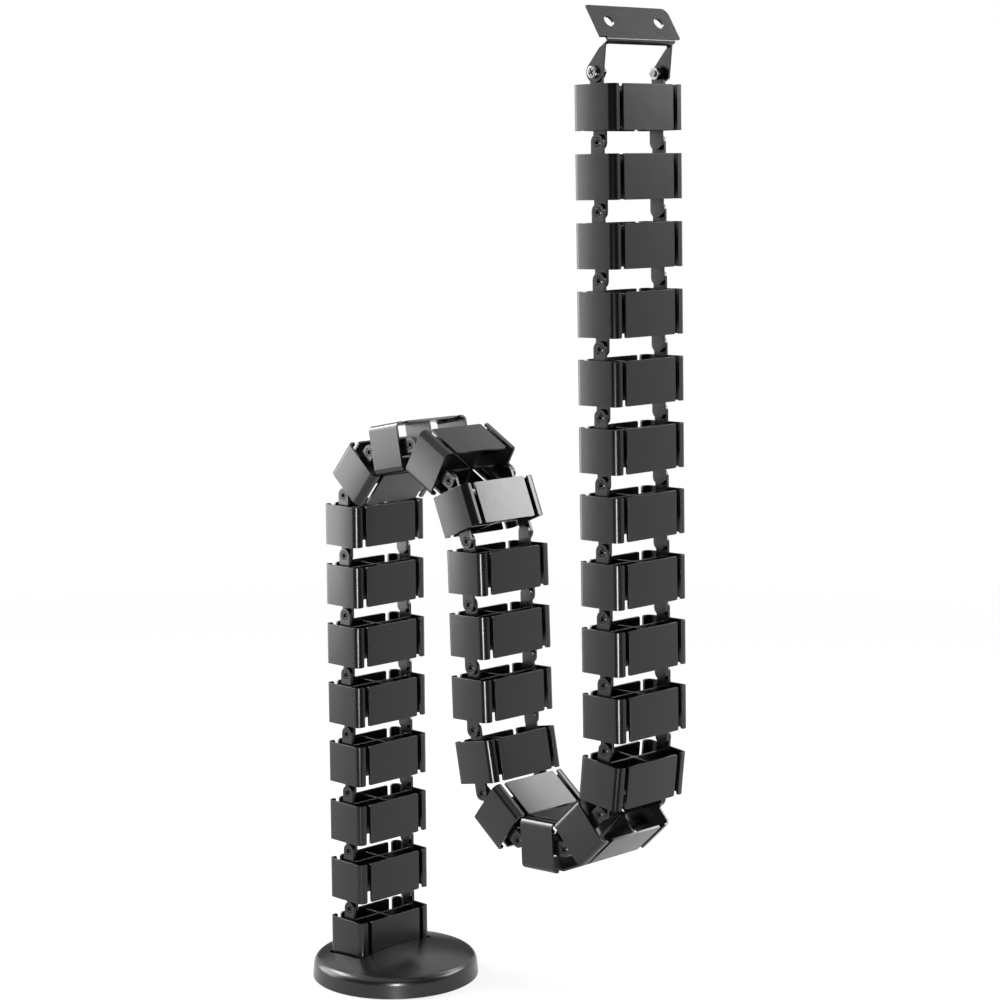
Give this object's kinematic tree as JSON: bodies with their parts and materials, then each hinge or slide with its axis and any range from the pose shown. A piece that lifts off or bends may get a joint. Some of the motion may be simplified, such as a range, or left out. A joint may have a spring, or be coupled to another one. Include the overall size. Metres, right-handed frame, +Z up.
{
  "type": "cable spine",
  "caption": "Cable spine: a chain of hinged links that guides desk cables from a weighted floor base to a desk bracket.",
  "frame": {"origin": "centre of the round base's underside, on the floor", "axes": "+Z up, +X along the hinge pins (the links' long side), -Y the way the chain leads from the base to the bracket"},
  "size_m": [0.117, 0.3031, 0.6643],
  "materials": {
    "link_plastic": "fine satin moulded black",
    "cover_plastic": "satin moulded black",
    "weight_steel": "plain rolled steel",
    "pad_rubber": "matt black foam rubber",
    "screw_steel": "bright zinc plated",
    "bracket_steel": "black powder coat"
  },
  "bodies": {
    "base": {"base_cover": "cover_plastic", "base_weight": "weight_steel", "base_pad": "pad_rubber", "base_screws": "screw_steel", "link_01": "link_plastic"},
    "link_02": {"link_02": "link_plastic"},
    "link_03": {"link_03": "link_plastic"},
    "link_04": {"link_04": "link_plastic"},
    "link_05": {"link_05": "link_plastic"},
    "link_06": {"link_06": "link_plastic"},
    "link_07": {"link_07": "link_plastic"},
    "link_08": {"link_08": "link_plastic"},
    "link_09": {"link_09": "link_plastic"},
    "link_10": {"link_10": "link_plastic"},
    "link_11": {"link_11": "link_plastic"},
    "link_12": {"link_12": "link_plastic"},
    "link_13": {"link_13": "link_plastic"},
    "link_14": {"link_14": "link_plastic"},
    "link_15": {"link_15": "link_plastic"},
    "link_16": {"link_16": "link_plastic"},
    "link_17": {"link_17": "link_plastic"},
    "link_18": {"link_18": "link_plastic"},
    "link_19": {"link_19": "link_plastic"},
    "link_20": {"link_20": "link_plastic"},
    "link_21": {"link_21": "link_plastic"},
    "link_22": {"link_22": "link_plastic"},
    "link_23": {"link_23": "link_plastic"},
    "link_24": {"link_24": "link_plastic"},
    "link_25": {"link_25": "link_plastic"},
    "link_26": {"link_26": "link_plastic"},
    "link_27": {"link_27": "link_plastic"},
    "link_28": {"link_28": "link_plastic"},
    "link_29": {"link_29": "link_plastic"},
    "link_30": {"link_30": "link_plastic"},
    "bracket": {"bracket": "bracket_steel", "pivot_screws": "screw_steel", "pivot_nuts": "screw_steel"}
  },
  "joints": [
    {"name": "hinge_01_02", "type": "hinge", "parent": "base", "child": "link_02", "pos_m": [0, 0.016, 0.0496], "axis": [1, 0, 0], "range_deg": [-43, 43]},
    {"name": "hinge_02_03", "type": "hinge", "parent": "link_02", "child": "link_03", "pos_m": [0, 0.016, 0.0916], "axis": [-1, 0, 0], "range_deg": [-43, 43]},
    {"name": "hinge_03_04", "type": "hinge", "parent": "link_03", "child": "link_04", "pos_m": [0, 0.016, 0.1336], "axis": [1, 0, 0], "range_deg": [-43, 43]},
    {"name": "hinge_04_05", "type": "hinge", "parent": "link_04", "child": "link_05", "pos_m": [0, 0.016, 0.1756], "axis": [-1, 0, 0], "range_deg": [-43, 43]},
    {"name": "hinge_05_06", "type": "hinge", "parent": "link_05", "child": "link_06", "pos_m": [0, 0.016, 0.2176], "axis": [1, 0, 0], "range_deg": [-43, 40]},
    {"name": "hinge_06_07", "type": "hinge", "parent": "link_06", "child": "link_07", "pos_m": [0, 0.016, 0.2596], "axis": [-1, 0, 0], "range_deg": [-40, 43]},
    {"name": "hinge_07_08", "type": "hinge", "parent": "link_07", "child": "link_08", "pos_m": [0, 0.016, 0.3016], "axis": [1, 0, 0], "range_deg": [-43, 32]},
    {"name": "hinge_08_09", "type": "hinge", "parent": "link_08", "child": "link_09", "pos_m": [0, 0.016, 0.3436], "axis": [-1, 0, 0], "range_deg": [-2.8, 83.2]},
    {"name": "hinge_09_10", "type": "hinge", "parent": "link_09", "child": "link_10", "pos_m": [0, -0.01111, 0.37568], "axis": [1, 0, 0], "range_deg": [-81.5, 4.5]},
    {"name": "hinge_10_11", "type": "hinge", "parent": "link_10", "child": "link_11", "pos_m": [0, -0.0523, 0.38391], "axis": [-1, 0, 0], "range_deg": [-2.1, 83.9]},
    {"name": "hinge_11_12", "type": "hinge", "parent": "link_11", "child": "link_12", "pos_m": [0, -0.08881, 0.36316], "axis": [1, 0, 0], "range_deg": [-80.7, 5.3]},
    {"name": "hinge_12_13", "type": "hinge", "parent": "link_12", "child": "link_13", "pos_m": [0, -0.10502, 0.32442], "axis": [-1, 0, 0], "range_deg": [-22.4, 63.6]},
    {"name": "hinge_13_14", "type": "hinge", "parent": "link_13", "child": "link_14", "pos_m": [0, -0.10656, 0.28245], "axis": [1, 0, 0], "range_deg": [-43, 43]},
    {"name": "hinge_14_15", "type": "hinge", "parent": "link_14", "child": "link_15", "pos_m": [0, -0.1081, 0.24047], "axis": [-1, 0, 0], "range_deg": [-43, 43]},
    {"name": "hinge_15_16", "type": "hinge", "parent": "link_15", "child": "link_16", "pos_m": [0, -0.10964, 0.1985], "axis": [1, 0, 0], "range_deg": [-34.1, 51.9]},
    {"name": "hinge_16_17", "type": "hinge", "parent": "link_16", "child": "link_17", "pos_m": [0, -0.11765, 0.15727], "axis": [-1, 0, 0], "range_deg": [-84.6, 1.4]},
    {"name": "hinge_17_18", "type": "hinge", "parent": "link_17", "child": "link_18", "pos_m": [0, -0.15102, 0.13176], "axis": [1, 0, 0], "range_deg": [-2.8, 83.2]},
    {"name": "hinge_18_19", "type": "hinge", "parent": "link_18", "child": "link_19", "pos_m": [0, -0.19297, 0.13381], "axis": [-1, 0, 0], "range_deg": [-83.5, 2.5]},
    {"name": "hinge_19_20", "type": "hinge", "parent": "link_19", "child": "link_20", "pos_m": [0, -0.22354, 0.16262], "axis": [1, 0, 0], "range_deg": [-2.3, 83.7]},
    {"name": "hinge_20_21", "type": "hinge", "parent": "link_20", "child": "link_21", "pos_m": [0, -0.22792, 0.20439], "axis": [-1, 0, 0], "range_deg": [-49.9, 30.1]},
    {"name": "hinge_21_22", "type": "hinge", "parent": "link_21", "child": "link_22", "pos_m": [0, -0.22726, 0.24638], "axis": [1, 0, 0], "range_deg": [-37, 43]},
    {"name": "hinge_22_23", "type": "hinge", "parent": "link_22", "child": "link_23", "pos_m": [0, -0.22661, 0.28838], "axis": [-1, 0, 0], "range_deg": [-43, 43]},
    {"name": "hinge_23_24", "type": "hinge", "parent": "link_23", "child": "link_24", "pos_m": [0, -0.22595, 0.33037], "axis": [1, 0, 0], "range_deg": [-43, 43]},
    {"name": "hinge_24_25", "type": "hinge", "parent": "link_24", "child": "link_25", "pos_m": [0, -0.22529, 0.37237], "axis": [-1, 0, 0], "range_deg": [-43, 43]},
    {"name": "hinge_25_26", "type": "hinge", "parent": "link_25", "child": "link_26", "pos_m": [0, -0.22463, 0.41436], "axis": [1, 0, 0], "range_deg": [-43, 43]},
    {"name": "hinge_26_27", "type": "hinge", "parent": "link_26", "child": "link_27", "pos_m": [0, -0.22397, 0.45636], "axis": [-1, 0, 0], "range_deg": [-43, 43]},
    {"name": "hinge_27_28", "type": "hinge", "parent": "link_27", "child": "link_28", "pos_m": [0, -0.22331, 0.49835], "axis": [1, 0, 0], "range_deg": [-43, 43]},
    {"name": "hinge_28_29", "type": "hinge", "parent": "link_28", "child": "link_29", "pos_m": [0, -0.22265, 0.54035], "axis": [-1, 0, 0], "range_deg": [-43, 43]},
    {"name": "hinge_29_30", "type": "hinge", "parent": "link_29", "child": "link_30", "pos_m": [0, -0.22199, 0.58234], "axis": [1, 0, 0], "range_deg": [-43, 43]},
    {"name": "bracket_pivot", "type": "hinge", "parent": "link_30", "child": "bracket", "pos_m": [0, -0.22133, 0.62434], "axis": [1, 0, 0], "range_deg": [-118, 32]}
  ]
}
